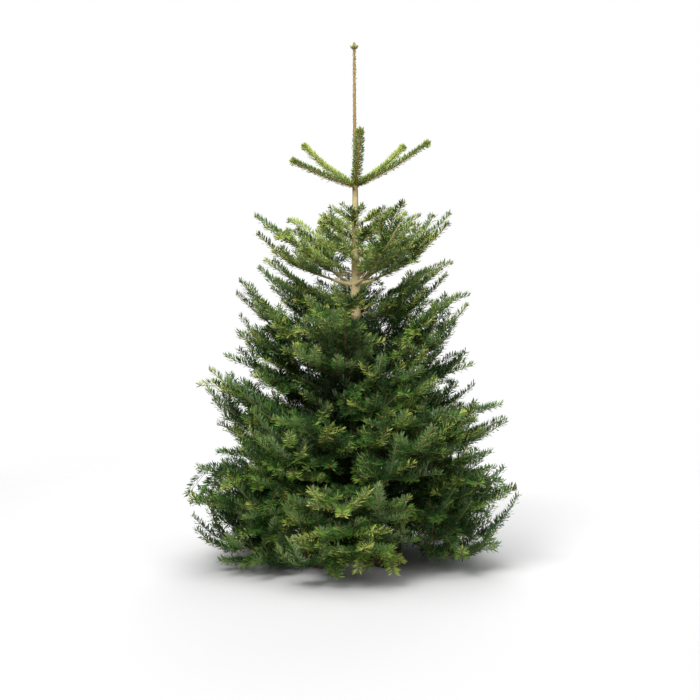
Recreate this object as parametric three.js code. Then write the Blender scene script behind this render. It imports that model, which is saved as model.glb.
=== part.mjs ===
// A cut fir, sold as a Christmas tree, standing on a plain wooden cross.
// Millimetres, +Z up. The origin is on the floor, under the middle of the cross. -Y is the front.
import * as THREE from 'three';

// ---- Driving dimensions ----------------------------------------------------------------------

const TREE_HEIGHT = 1750; // floor to the tip of the leading shoot
const TRUNK_FOOT_RADIUS = 30;
const PIECE_GAP = 0.5; // clear space between two pieces that meet
const FOLIAGE_GAP = 7; // clear space between two neighbouring masses of foliage
const TAU = 2 * Math.PI;

const CROSS = { length: 400, width: 80, height: 45, turn: 45, lap: 0.5 };

// The whorls of boughs, from the leader down. Between two of the yearly whorls the trunk also carries
// weaker boughs, here called inner ones. Heights are on the trunk, reach is from the trunk's axis to a
// tip, rise is how far that tip stands above the foot of its bough, and sag is how far the bough hangs
// below that line midway. bare is the share of the reach with no foliage, blunt is how late a mass thins
// towards its tip, and end is its thickness there, above and below its line. Each bough has its azimuth in
// degrees from +X, and its own shares of the whorl's reach and rise.
const WHORLS = [
  {
    name: 'top', height: 1270, reach: 250, rise: 145, sag: 0, bare: 0.07, limbRadius: 0,
    spread: 17, above: 16, below: 15, blunt: 3, end: [15, 15], lobes: 0, rings: 7, around: 6,
    boughs: [[-10, 1.02, 1], [46, 1, 1.03], [136, 1, 1.08], [213, 1.12, 0.62], [276, 0.82, 1.42]],
  },
  {
    name: 'upper', height: 940, reach: 350, rise: 168, sag: 8, bare: 0.22, limbRadius: 7,
    spread: 155, above: 84, below: 42, blunt: 4, end: [22, 22], lobes: 2, rings: 12, around: 8,
    boughs: [[-14, 0.97, 1], [52, 1.02, 1.26], [128, 1, 1.26], [194, 1.02, 0.95], [299, 0.85, 1.12]],
  },
  {
    name: 'upper_inner', height: 835, reach: 325, rise: 140, sag: 6, bare: 0.14, limbRadius: 0,
    spread: 140, above: 72, below: 76, blunt: 5, end: [24, 24], lobes: 2, rings: 10, around: 8,
    boughs: [[10, 0.98, 1.05], [96, 0.92, 1], [172, 1.08, 1.05], [250, 0.82, 0.75]],
  },
  {
    name: 'middle', height: 640, reach: 415, rise: 235, sag: 10, bare: 0.22, limbRadius: 9,
    spread: 220, above: 98, below: 110, blunt: 5, end: [32, 32], lobes: 3, rings: 12, around: 8,
    boughs: [[-7, 0.95, 1], [60, 0.96, 1], [126, 0.98, 1.05], [186, 1, 1.08], [262, 0.98, 0.82]],
  },
  {
    name: 'middle_inner', height: 515, reach: 450, rise: 165, sag: 8, bare: 0.12, limbRadius: 0,
    spread: 240, above: 110, below: 120, blunt: 7, end: [42, 42], lobes: 3, rings: 10, around: 8,
    boughs: [[22, 0.98, 0.7], [100, 0.95, 1], [170, 1.02, 1.12], [296, 0.96, 0.7]],
  },
  {
    name: 'lower', height: 380, reach: 535, rise: 130, sag: 14, bare: 0.18, limbRadius: 11,
    spread: 300, above: 130, below: 135, blunt: 8, end: [55, 65], lobes: 4, rings: 12, around: 8,
    boughs: [
      [-10, 1, 0.5], [52, 0.98, 1], [114, 0.98, 1.1],
      [178, 1.01, 1.45], [236, 0.99, 0.8], [298, 0.98, 0.7],
    ],
  },
  {
    name: 'bottom', height: 195, reach: 580, rise: 30, sag: 22, bare: 0.18, limbRadius: 12,
    spread: 320, above: 150, below: 200, blunt: 8, end: [60, 165], lobes: 4, rings: 12, around: 8,
    boughs: [
      [-16, 1, 1.6], [40, 0.98, 1], [96, 1, 1],
      [150, 1, 1.2], [206, 1.02, 1], [268, 0.99, 0.6],
    ],
  },
];

const LOWEST_FOLIAGE = { overStand: 51, outside: 18, standReach: 215, outsideFrom: 262 }; // above the floor
const BOUGH_BEND = 1.3; // a bough rises by this power of its distance from the trunk
const LATERAL_SWEEP = 0.7; // side shoots lean this far forward for each unit they run sideways
const TIP_RADIUS = 15; // half the width of the needles on a leading shoot
const ROUNDNESS = 0.95; // side shoots end within this share of the reach from the trunk
const SQUARENESS = 0.7; // 1 gives a mass an oval section, less a fuller one
const LOBE_DEPTH = 0.3; // how far the outline draws in between two pairs of side boughs
const LAST_RING = 0.97; // place of the last ring on a mass, as a share of its length
const OPENING = { width: 0.35, widthBy: 0.35, depth: 0.45, depthBy: 0.3 }; // where a mass starts, and full by
const TIP_TAPER = 0.8; // how quickly a mass widens behind its tip, as a share of its side shoots' lean
const THINNING = 0.7; // the power by which a mass thins towards its tip, less for a rounder end
const RIPPLE = 0.14; // how far a mass's thickness swells and draws in along it
const LEAST_HALF_WIDTH = 2;
const LIMB = { rings: 5, sides: 6, taper: 0.6, gap: 2 }; // taper is its end radius over its first one

// Trunk radius at a height, from the cut foot to the leader; the bud is added at the tip.
const TRUNK_TAPER = [
  [CROSS.height, TRUNK_FOOT_RADIUS],
  [110, 28],
  [380, 25],
  [640, 20],
  [940, 14.5],
  [1255, 9.4],
  [1300, 6],
  [TREE_HEIGHT - 26, 3.8],
];
const TRUNK_SIDES = 10;
const PLAIN_RINGS = [110, 1085, 1420, 1570]; // heights of the trunk's rings that lie between its whorls
const LEADER_BUD = { length: 22, radius: 8, neck: 4, widest: 0.3, shoulder: 0.7 }; // neck is under its foot
const TRUNK_SWAY = 5; // how far the trunk bends out of plumb
const WHORL_SWELLING = 1.14; // the trunk is this much thicker where a whorl leaves it
const SWELLING_HALF_LENGTH = 22;

// ---- Materials -------------------------------------------------------------------------------

const material = (color, roughness) => new THREE.MeshStandardMaterial({ color, roughness, metalness: 0 });
const BARK = material('#8a7a58', 0.85);
const FOLIAGE = material('#2f5d2a', 0.6);
const PLANK = material('#c9a878', 0.7);

// ---- Tools -----------------------------------------------------------------------------------

const radians = THREE.MathUtils.degToRad;
const { lerp, clamp, smoothstep } = THREE.MathUtils;

// A repeatable source of numbers from 0 to 1.
function seeded(seed) {
  let state = seed;
  return () => {
    state = (state * 1664525 + 1013904223) >>> 0;
    return state / 2 ** 32;
  };
}

// The value at x on straight lines through the points of a table.
function along(table, x) {
  const next = table.findIndex(([at]) => at >= x);
  if (next < 0) return table.at(-1)[1];
  if (next === 0) return table[0][1];
  const [[x0, y0], [x1, y1]] = [table[next - 1], table[next]];
  return lerp(y0, y1, (x - x0) / (x1 - x0));
}

// A closed body on a sphere's grid. Row 0 and the last row are its two poles, and each row between them
// is a ring: place(row, angle) gives the point of that row at that angle.
function skin(rings, around, place) {
  const geometry = new THREE.SphereGeometry(1, around, rings + 1);
  const position = geometry.getAttribute('position');
  for (let i = 0; i < position.count; i++) {
    const row = Math.floor(i / (around + 1));
    const angle = ((i % (around + 1)) % around) * (TAU / around);
    position.setXYZ(i, ...place(row, angle));
  }
  geometry.deleteAttribute('uv');
  geometry.computeVertexNormals();
  return geometry;
}

function named(name, geometry, finish) {
  const mesh = new THREE.Mesh(geometry, finish);
  mesh.name = name;
  return mesh;
}

// ---- Trunk -----------------------------------------------------------------------------------

// How far the trunk's axis lies from plumb at a height: nothing at the foot, a long slow bend above.
const swayAt = (z) => TRUNK_SWAY * Math.sin((TAU * (z - CROSS.height)) / (2 * TREE_HEIGHT)) ** 2;

function trunkRadius(z) {
  const swelling = WHORLS.reduce((most, whorl) => {
    const near = 1 - Math.abs(z - whorl.height) / SWELLING_HALF_LENGTH;
    return Math.max(most, near);
  }, 0);
  return along(TRUNK_TAPER, z) * lerp(1, WHORL_SWELLING, swelling);
}

// The trunk from its flat cut to the leader's bud: one ring at each bend of the taper and at the swelling
// of each whorl, and a pointed bud on the last stretch.
function trunk() {
  const foot = CROSS.height + PIECE_GAP;
  const budFoot = TREE_HEIGHT - LEADER_BUD.length;
  const swellings = WHORLS.flatMap(({ height }) => [
    height - SWELLING_HALF_LENGTH,
    height,
    height + SWELLING_HALF_LENGTH,
  ]);
  const levels = [foot, ...PLAIN_RINGS, ...swellings, budFoot - LEADER_BUD.neck].sort((a, b) => a - b);
  const { length, radius: budRadius, widest, shoulder } = LEADER_BUD;
  const rings = [
    ...levels.map((z) => [z, trunkRadius(z)]),
    [budFoot + length * widest, budRadius],
    [budFoot + length * shoulder, budRadius * shoulder],
  ];
  const ends = { first: [foot, 0], last: [TREE_HEIGHT, 0] };
  const rows = [ends.first, ...rings, ends.last];
  const geometry = skin(rings.length, TRUNK_SIDES, (row, angle) => {
    const [z, radius] = rows[row];
    return [swayAt(z) - radius * Math.cos(angle), radius * Math.sin(angle), z];
  });
  return named('trunk', geometry, BARK);
}

// ---- Boughs and their foliage ----------------------------------------------------------------

// Height of a bough's line over the foot of that bough, at a share of its reach.
const lift = (rise, sag, share) => rise * share ** BOUGH_BEND - sag * Math.sin(Math.PI * share);

// A whorl's share of rise at an azimuth in degrees, on straight lines from each bough to the next.
function riseShareAt(whorl, azimuth) {
  const turned = whorl.boughs.map(([at, , share]) => [((at - azimuth) % 360 + 360) % 360, share]);
  turned.sort((a, b) => a[0] - b[0]);
  const [next, last] = [turned[0], turned.at(-1)];
  return along([[last[0] - 360, last[1]], next], 0);
}

// Height above the floor of the surface that a whorl's boughs lie in, at a distance from the trunk's axis.
function whorlSurface(whorl, azimuth, r) {
  const rise = whorl.rise * riseShareAt(whorl, azimuth);
  return whorl.height + lift(rise, whorl.sag, r / whorl.reach);
}

// The lowest foliage passes clear over the stand and hangs lower outside it.
function lowestFoliage(r) {
  const { overStand, outside, standReach, outsideFrom } = LOWEST_FOLIAGE;
  return lerp(overStand, outside, smoothstep(r, standReach, outsideFrom));
}

// The heights between which a whorl's foliage stays: halfway to the whorls above and below it.
function roomFor(index, azimuth, r) {
  const own = whorlSurface(WHORLS[index], azimuth, r);
  const middle = (other) => (own + whorlSurface(other, azimuth, r)) / 2;
  const open = index < 2; // nothing hangs down to these from the whorl above
  return {
    ceiling: open ? TREE_HEIGHT : middle(WHORLS[index - 1]) - FOLIAGE_GAP / 2,
    floor: index === WHORLS.length - 1 ? lowestFoliage(r) : middle(WHORLS[index + 1]) + FOLIAGE_GAP / 2,
  };
}

// One bough's own sizes. left and right are half the angles to its neighbours.
function boughsOf(whorl, index) {
  const random = seeded(31 * (index + 1));
  const { boughs } = whorl;
  return boughs.map(([azimuth, reachShare, riseShare], i) => {
    const before = boughs.at(i - 1)[0];
    const after = boughs[(i + 1) % boughs.length][0];
    const turnTo = (other) => ((Math.abs(other - azimuth) + 180) % 360) - 180;
    return {
      azimuth,
      reach: whorl.reach * reachShare,
      rise: whorl.rise * riseShare,
      left: radians(Math.abs(turnTo(after)) / 2),
      right: radians(Math.abs(turnTo(before)) / 2),
      phases: [random(), random(), random()],
      fullness: lerp(0.9, 1.1, random()),
    };
  });
}

// Half the width of a mass on one side, at a share of the bough's reach. It opens quickly, is widest
// before the middle and closes on the leading shoot, and it draws in between pairs of side boughs.
function halfWidth(whorl, bough, share, leftSide) {
  const done = (share - whorl.bare) / (1 - whorl.bare);
  const opening = lerp(OPENING.width, 1, smoothstep(done, 0, OPENING.widthBy));
  const wave = Math.cos(TAU * (whorl.lobes * done + bough.phases[leftSide ? 0 : 1]));
  const drawnIn = whorl.lobes ? (LOBE_DEPTH * (1 + wave)) / 2 : 0;
  const full = whorl.spread * bough.fullness * opening * (1 - drawnIn);
  const behindTip = TIP_RADIUS + ((1 - share) * bough.reach * TIP_TAPER) / LATERAL_SWEEP;
  const k = LATERAL_SWEEP;
  const inRound = Math.sqrt(k * k * share * share + (1 + k * k) * Math.max(0, ROUNDNESS ** 2 - share ** 2));
  const toRound = TIP_RADIUS + (bough.reach * (inRound - k * share)) / (1 + k * k);
  const slope = Math.tan(leftSide ? bough.left : bough.right);
  const facing = 1 - LATERAL_SWEEP * slope;
  const room = facing > 0 ? (share * bough.reach * slope - FOLIAGE_GAP) / facing : Infinity;
  return Math.max(LEAST_HALF_WIDTH, Math.min(full, behindTip, toRound, room));
}

// The thickness of a mass above or below its surface, at a share of the bough's reach.
function halfDepth(whorl, bough, share, isAbove) {
  const [most, end] = isAbove ? [whorl.above, whorl.end[0]] : [whorl.below, whorl.end[1]];
  const done = (share - whorl.bare) / (1 - whorl.bare);
  const ripple = whorl.lobes ? RIPPLE * Math.sin(TAU * (whorl.lobes * done + bough.phases[2])) : 0;
  const full = lerp(OPENING.depth, 1, smoothstep(done, 0, OPENING.depthBy)) * (1 + ripple);
  return lerp(end, most, (1 - done ** whorl.blunt) ** THINNING) * full;
}

// A mass of foliage: rings swept forward like the side shoots, each a flat oval about the bough's line.
// In the bough's own frame X runs outwards, Y to the left and Z up from the bough's foot.
function foliage(whorl, index, bough) {
  const last = whorl.rings + 1;
  const fuller = (value) => Math.sign(value) * Math.abs(value) ** SQUARENESS;
  return skin(whorl.rings, whorl.around, (row, angle) => {
    const done = row === last ? 1 : (clamp(row - 1, 0, whorl.rings) / (whorl.rings - 1)) * LAST_RING;
    const share = lerp(whorl.bare, 1, done);
    const pole = row === 0 || row === last;
    const across = pole ? 0 : -fuller(Math.cos(angle));
    const up = pole ? 0 : fuller(Math.sin(angle));
    const y = across * halfWidth(whorl, bough, share, across > 0);
    const x = share * bough.reach + LATERAL_SWEEP * Math.abs(y);
    const depth = halfDepth(whorl, bough, share, up > 0);
    const line = whorl.height + lift(bough.rise, whorl.sag, x / bough.reach);
    const azimuth = bough.azimuth + THREE.MathUtils.radToDeg(Math.atan2(y, x));
    const room = roomFor(index, azimuth, Math.hypot(x, y));
    const z = clamp(line + up * depth, room.floor, room.ceiling);
    return [x, y, z - whorl.height];
  });
}

// The bare limb of a bough, from the trunk's bark to where its foliage starts.
function limb(whorl, bough) {
  const { rings, sides, taper, gap } = LIMB;
  const start = trunkRadius(whorl.height) + PIECE_GAP + TRUNK_SWAY;
  const end = whorl.bare * bough.reach - gap;
  return skin(rings, sides, (row, angle) => {
    const done = clamp(row - 1, 0, rings - 1) / (rings - 1);
    const pole = row === 0 || row === rings + 1;
    const radius = pole ? 0 : whorl.limbRadius * lerp(1, taper, done);
    const x = lerp(start, end, done);
    const z = lift(bough.rise, whorl.sag, x / bough.reach);
    return [x, -radius * Math.cos(angle), z + radius * Math.sin(angle)];
  });
}

// A whorl: its boughs stand in turned groups at its height on the trunk.
function whorlGroup(whorl, index) {
  const group = new THREE.Group();
  group.position.z = whorl.height;
  const massName = index === 0 ? `${whorl.name}_shoot` : `${whorl.name}_spray`;
  boughsOf(whorl, index).forEach((bough, i) => {
    const turned = new THREE.Group();
    turned.rotation.z = radians(bough.azimuth);
    turned.add(named(`${massName}_${i + 1}`, foliage(whorl, index, bough), FOLIAGE));
    if (whorl.limbRadius) turned.add(named(`${whorl.name}_bough_${i + 1}`, limb(whorl, bough), BARK));
    group.add(turned);
  });
  return group;
}

// ---- Stand -----------------------------------------------------------------------------------

// One plank of the cross, half cut away where the other crosses it. The notch is in its top or its
// underside, and both planks lie flat on the floor.
function plank(name, notchOnTop) {
  const half = CROSS.length / 2;
  const notch = CROSS.width / 2 + PIECE_GAP;
  const level = CROSS.height * CROSS.lap + (notchOnTop ? -PIECE_GAP / 2 : PIECE_GAP / 2);
  const [notched, plain] = notchOnTop ? [CROSS.height, 0] : [0, CROSS.height];
  const profile = new THREE.Shape([
    new THREE.Vector2(-half, plain),
    new THREE.Vector2(half, plain),
    new THREE.Vector2(half, notched),
    new THREE.Vector2(notch, notched),
    new THREE.Vector2(notch, level),
    new THREE.Vector2(-notch, level),
    new THREE.Vector2(-notch, notched),
    new THREE.Vector2(-half, notched),
  ]);
  const geometry = new THREE.ExtrudeGeometry(profile, { depth: CROSS.width, bevelEnabled: false });
  geometry.translate(0, 0, -CROSS.width / 2);
  geometry.rotateX(Math.PI / 2);
  return named(name, geometry, PLANK);
}

function stand() {
  const group = new THREE.Group();
  group.rotation.z = radians(CROSS.turn);
  const lower = plank('stand_lower_plank', true);
  const upper = plank('stand_upper_plank', false);
  upper.rotation.z = Math.PI / 2;
  group.add(lower, upper);
  return group;
}

// ---- The whole tree --------------------------------------------------------------------------

const tree = new THREE.Group();
tree.add(stand(), trunk(), ...WHORLS.map(whorlGroup));

export default tree;
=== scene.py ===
import math
from functools import lru_cache

import bpy
import numpy as np
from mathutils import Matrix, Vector
from mathutils.bvhtree import BVHTree


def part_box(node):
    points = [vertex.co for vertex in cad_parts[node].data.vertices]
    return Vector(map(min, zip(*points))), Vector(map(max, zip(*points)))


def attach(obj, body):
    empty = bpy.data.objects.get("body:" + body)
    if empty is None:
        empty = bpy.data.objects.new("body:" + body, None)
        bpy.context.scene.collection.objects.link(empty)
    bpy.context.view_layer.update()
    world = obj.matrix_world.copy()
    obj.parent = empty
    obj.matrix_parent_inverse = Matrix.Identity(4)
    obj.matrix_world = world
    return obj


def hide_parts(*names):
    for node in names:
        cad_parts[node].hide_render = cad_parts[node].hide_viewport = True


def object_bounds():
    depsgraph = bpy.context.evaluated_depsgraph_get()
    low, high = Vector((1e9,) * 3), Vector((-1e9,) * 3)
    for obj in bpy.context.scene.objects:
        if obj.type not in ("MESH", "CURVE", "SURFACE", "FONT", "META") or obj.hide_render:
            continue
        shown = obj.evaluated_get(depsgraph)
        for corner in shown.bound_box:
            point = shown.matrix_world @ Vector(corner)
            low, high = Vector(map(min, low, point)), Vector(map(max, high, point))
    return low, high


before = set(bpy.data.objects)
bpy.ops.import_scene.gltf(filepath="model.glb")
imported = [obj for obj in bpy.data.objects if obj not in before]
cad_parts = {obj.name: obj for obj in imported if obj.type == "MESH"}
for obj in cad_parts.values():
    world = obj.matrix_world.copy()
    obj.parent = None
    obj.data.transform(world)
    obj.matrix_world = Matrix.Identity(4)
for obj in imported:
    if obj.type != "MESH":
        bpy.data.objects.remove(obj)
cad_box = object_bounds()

bl_info = {
    "name": "Cut Fir on a Wooden Cross",
    "version": (1, 0, 0),
    "blender": (4, 5, 0),
    "location": "3D View > Sidebar > Fir",
    "description": "Grows the bark, twigs, needles and buds of a cut fir, with its stand and stage",
    "category": "Object",
}

BODY = "root"
TAU = 2 * math.pi
UP = np.array([0.0, 0.0, 1.0])

# One row for each tier of foliage, under the name that its nodes share: how many years of growth lie inside
# its masses, how thick one flat layer of shoots is, how many pairs of side shoots a strong shoot has along
# it, the share of light green shoots among the young ones (a low share also gives more shoots the
# painted-shade underside), how steeply the young shoots turn up at most, the length and the number of its
# needles as shares of the usual, and the length of its buds.
TIER_COLUMNS = ("years", "layer", "pairs", "light", "upturn", "needle", "cover", "bud")
TIERS = {tier: dict(zip(TIER_COLUMNS, row)) for tier, row in {
    "top_shoot": (1, 1.0, 0, 1.0, 0.0, 0.75, 2.5, 0.015),
    "upper_spray": (2, 0.055, 4, 0.86, 0.6, 0.95, 1.2, 0.009),
    "upper_inner_spray": (2, 0.038, 3, 0.52, 0.45, 1.0, 1.2, 0.008),
    "middle_spray": (3, 0.05, 2, 0.32, 0.5, 1.0, 1.0, 0.0075),
    "middle_inner_spray": (3, 0.05, 2, 0.22, 0.5, 1.05, 1.0, 0.007),
    "lower_spray": (3, 0.048, 2, 0.24, 0.5, 1.1, 0.95, 0.007),
    "bottom_spray": (3, 0.043, 2, 0.16, 0.3, 1.1, 0.95, 0.007),
}.items()}

# Painted highlight: the mass in front takes more light green shoots, as if more brightly lit.
PAINTED_HIGHLIGHT_MASS, PAINTED_HIGHLIGHT_SHARE = "bottom_spray_6", 0.3  # the mass in front has this much more of light green shoots
# The mass in front of the bare trunk grows only its lowest layers, so that the trunk shows above them.
OPEN_MASS, OPEN_LAYERS = "upper_inner_spray_4", 2
YEAR_WEIGHTS = (1.0, 1.05, 1.0)  # how the years of growth share a mass's length, from the oldest
COVER_BY_AGE = {1: 1.2, 2: 0.8, 3: 0.36}  # how much of its needles a shoot still has, by its age in years
CUT_SHARES = (1.0, 0.85, 0.7, 0.55, 0.42)  # shares of its length tried until a shoot's tip lies in its mass
WEAK_RANK = 2  # shoots of this rank and above put out no side shoots
STRAIGHTENING = 0.97  # share of its turn away from the bough's line that a shoot keeps the year after
PAIR_CHANCE = 0.85  # how likely each shoot of a pair along a strong shoot is to grow
PAIR_LEAN = 1.12  # how much wider than a side shoot's the angle of such a shoot is
LENGTH_RANGE = (0.85, 1.12)  # shares of the year's length between which a shoot grows
TIP_MARGIN = 0.012  # how much shorter than its mass a bough's line of shoots is
YOUNG_TIP_OUT = 0.022  # how far a young shoot's tip may stick out of its mass's outline
NEEDLE_REACH = 0.010  # clear height kept between a shoot's line and the faces of its mass
HEADING_SPREAD = 0.7  # radians over which the layers of one mass point
GOLDEN_SHARE = 0.618034  # steps of this share of a range never fall together
TOP_SHOOT_RADII = (0.0052, 0.0030)  # at the foot and the tip of a shoot of the top whorl
TWIG_RADII = (0.0017, 0.0011)  # at the foot and the tip of a twig that grows from the trunk
POLE_RADIUS = 0.001  # a ring narrower than this is a pole that closes its solid
# The second number of each random stream's seed, so that one kind of growth doesn't change another's draws.
CROWN_NEEDLES, INNER_NEEDLES, TOP_NEEDLES, LEADER_NEEDLES = 5, 6, 8, 9
BUDS, TRUNK_TWIGS, INNER_TWIGS = 21, 77, 78

# Greens for the upper face of a needle, from the youngest to the oldest, then its underside in light and a
# darker copy of that underside which is painted shade, and the gold of the short needles on the leading shoot
# and the top whorl. A shoot takes one upper colour and one underside.
NEEDLE_COLOURS = {
    "needle_fresh": (0.62, 0.68, 0.31),
    "needle_light": (0.44, 0.57, 0.22),
    "needle_green": (0.27, 0.44, 0.15),
    "needle_deep": (0.135, 0.275, 0.09),
    "needle_old": (0.08, 0.15, 0.06),
    "needle_silver": (0.46, 0.56, 0.36),
    "needle_shaded_silver": (0.21, 0.31, 0.17),
    "needle_golden": (0.60, 0.52, 0.30),
}
FRESH, LIGHT, GREEN, DEEP, OLD, SILVER, SHADED_SILVER, GOLDEN = range(8)


# ---- Settings ----


class FirGrowthSettings(bpy.types.PropertyGroup):
    """How the shoots and needles grow."""

    seed: bpy.props.IntProperty(name="Seed", description="Start of every random draw", default=11, min=0)
    side_angle: bpy.props.FloatProperty(
        name="Side shoot angle",
        description="Angle between a side shoot and the shoot that it grows from",
        default=math.radians(50), subtype="ANGLE",
    )
    side_share: bpy.props.FloatProperty(
        name="Side shoot length",
        description="Length of a side shoot as a share of the shoot that goes straight on",
        default=0.8, subtype="FACTOR", min=0.2, max=1,
    )
    needle_length: bpy.props.FloatProperty(
        name="Needle length", description="Length of a full-grown needle", default=0.025, unit="LENGTH",
    )
    needle_width: bpy.props.FloatProperty(
        name="Needle width", description="Greatest width of a needle", default=0.0042, unit="LENGTH",
    )
    needles_per_metre: bpy.props.FloatProperty(
        name="Needles per metre", description="Needles on a metre of young shoot", default=620, min=100,
    )


def colour_setting(name, description, default):
    """A colour of the panel, given as a display shows it."""
    return bpy.props.FloatVectorProperty(
        name=name, description=description, default=default, subtype="COLOR_GAMMA", size=3, min=0, max=1)


class FirLookSettings(bpy.types.PropertyGroup):
    """Colours of the wood."""

    bark_young: colour_setting("Young bark", "Bark of the leading shoot", (0.60, 0.51, 0.33))
    bark_pale: colour_setting("Pale bark", "Smooth bark in the upper half of the trunk", (0.80, 0.73, 0.54))
    bark_old: colour_setting("Old bark", "Bark at the foot of the trunk", (0.33, 0.28, 0.20))
    bud: colour_setting("Buds", "Scales of the winter buds", (0.47, 0.37, 0.18))
    timber: colour_setting("Timber", "Sawn planks of the stand", (0.40, 0.31, 0.21))


# ---- Reading the frame ----


def unit(vectors):
    """Vectors divided by their lengths."""
    return vectors / np.maximum(np.linalg.norm(vectors, axis=-1, keepdims=True), 1e-9)


def compass(angle):
    """Level unit vectors at azimuths: (cos a, sin a, 0)."""
    return np.stack([np.cos(angle), np.sin(angle), 0 * angle], axis=-1)


def node_arrays(name):
    """Vertices (n, 3) and triangles (m, 3) of a CAD node, in metres in the shared frame."""
    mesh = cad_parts[name].data
    mesh.calc_loop_triangles()
    points = np.empty(len(mesh.vertices) * 3)
    mesh.vertices.foreach_get("co", points)
    triangles = np.empty(len(mesh.loop_triangles) * 3, dtype=np.int32)
    mesh.loop_triangles.foreach_get("vertices", triangles)
    return points.reshape(-1, 3), triangles.reshape(-1, 3)


def rings_along(points, distance):
    """Centre, radius and distance of each ring of vertices that share one distance."""
    keys = np.round(distance, 4)
    levels = np.unique(keys)
    centres = np.array([points[keys == level].mean(axis=0) for level in levels])
    radii = np.array([
        np.linalg.norm(points[keys == level] - centre, axis=1).max() for level, centre in zip(levels, centres)
    ])
    return levels, centres, radii


@lru_cache(maxsize=None)
def trunk_rings():
    """The trunk's heights, centres and radii, read from its node. Its two poles have radius 0."""
    points, _ = node_arrays("trunk")
    points = np.unique(np.round(points, 5), axis=0)
    return rings_along(points, points[:, 2])


def trunk_centre(height):
    """Points of the trunk's axis at an array of heights."""
    heights, centres, _ = trunk_rings()
    return np.stack([np.interp(height, heights, centres[:, axis]) for axis in range(3)], axis=-1)


def trunk_radius(height):
    """The trunk's radius at an array of heights."""
    heights, _, radii = trunk_rings()
    body = radii > POLE_RADIUS
    return np.interp(height, heights[body], radii[body])


def nodes_of(tier):
    """Names of a tier's masses, in order."""
    return sorted(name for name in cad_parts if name.rsplit("_", 1)[0] == tier)


class Room:
    """The space of one mass of foliage, in its bough's own plan: x outwards, y to the left.

    Rays dropped on a grid of plan points give the heights of the mass's upper and lower face.
    """

    CELL = 0.008
    SAMPLES = 800  # at most about this many filled cells are compared when the empty ones are filled

    def __init__(self, name):
        points, triangles = node_arrays(name)
        root = points[np.argmin(np.hypot(points[:, 0], points[:, 1]))]
        self.outward = compass(np.arctan2(root[1], root[0]))
        self.leftward = np.cross(UP, self.outward)
        x, y = points @ self.outward, points @ self.leftward
        self.start, self.low = x.min(), np.array([x.min(), y.min()]) - 2 * self.CELL
        count = np.ceil((np.array([x.max(), y.max()]) - self.low) / self.CELL).astype(int) + 3
        tree = BVHTree.FromPolygons(points.tolist(), triangles.tolist())
        self.upper, self.lower = np.full(count, np.nan), np.full(count, np.nan)
        above, below = points[:, 2].max() + 1, points[:, 2].min() - 1
        for i, j in np.ndindex(*count):
            plan = self.low + np.array([i, j]) * self.CELL
            place = self.outward * plan[0] + self.leftward * plan[1]
            hit = tree.ray_cast(Vector((place[0], place[1], above)), Vector((0, 0, -1)))[0]
            if hit is not None:
                self.upper[i, j] = hit.z
                back = tree.ray_cast(Vector((place[0], place[1], below)), Vector((0, 0, 1)))[0]
                self.lower[i, j] = hit.z if back is None else back.z
        self.filled = ~np.isnan(self.upper)
        middle = self.filled[:, int(round(-self.low[1] / self.CELL))]
        self.end = self.low[0] + self.CELL * np.nonzero(middle)[0].max()
        self.thickness = np.nanpercentile(self.upper - self.lower, 75)
        self.upper, self.lower = self._spread(self.upper), self._spread(self.lower)

    def _spread(self, heights):
        """The heights with each empty cell filled from the filled cell nearest to it."""
        filled, empty = np.argwhere(self.filled), np.argwhere(~self.filled)
        filled = filled[:: max(1, len(filled) // self.SAMPLES)]
        gaps = ((empty[:, None, :] - filled[None]) ** 2).sum(axis=2)
        nearest = filled[gaps.argmin(axis=1)]
        heights = heights.copy()
        heights[tuple(empty.T)] = heights[tuple(nearest.T)]
        return heights

    def _cell(self, x, y):
        """Plan points counted in cells from the grid's low corner."""
        place = (np.stack([x, y], axis=-1) - self.low) / self.CELL
        return np.clip(place, 0, np.array(self.filled.shape) - 1.001)

    def holds(self, x, y):
        """True where a plan point has the mass above it."""
        i, j = np.round(self._cell(x, y)).astype(int).T
        return self.filled[i, j]

    def _read(self, heights, x, y):
        """Heights at plan points, blended from the four cells around each."""
        place = self._cell(x, y)
        i, j = np.floor(place).astype(int).T
        s, t = (place - np.floor(place)).T
        return ((1 - s) * (1 - t) * heights[i, j] + s * (1 - t) * heights[i + 1, j]
                + (1 - s) * t * heights[i, j + 1] + s * t * heights[i + 1, j + 1])

    def lift(self, plan):
        """Points of the shared frame from (x, y, level), where level 0 is the lower face and 1 the upper."""
        x, y, level = plan.T
        upper, lower = (self._read(face, x, y) for face in (self.upper, self.lower))
        margin = np.minimum(NEEDLE_REACH, 0.4 * (upper - lower))
        height = lower + margin + level * (upper - lower - 2 * margin)
        return x[:, None] * self.outward + y[:, None] * self.leftward + height[:, None] * UP

    def level_of(self, height, x):
        """The level of a height on the bough's line, at a distance from the trunk's axis."""
        x = np.array([x])
        upper, lower = (self._read(face, x, 0 * x)[0] for face in (self.upper, self.lower))
        return float(np.clip((height - lower) / max(upper - lower, 1e-4), 0.05, 0.95))


# ---- Growing the shoots ----


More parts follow.
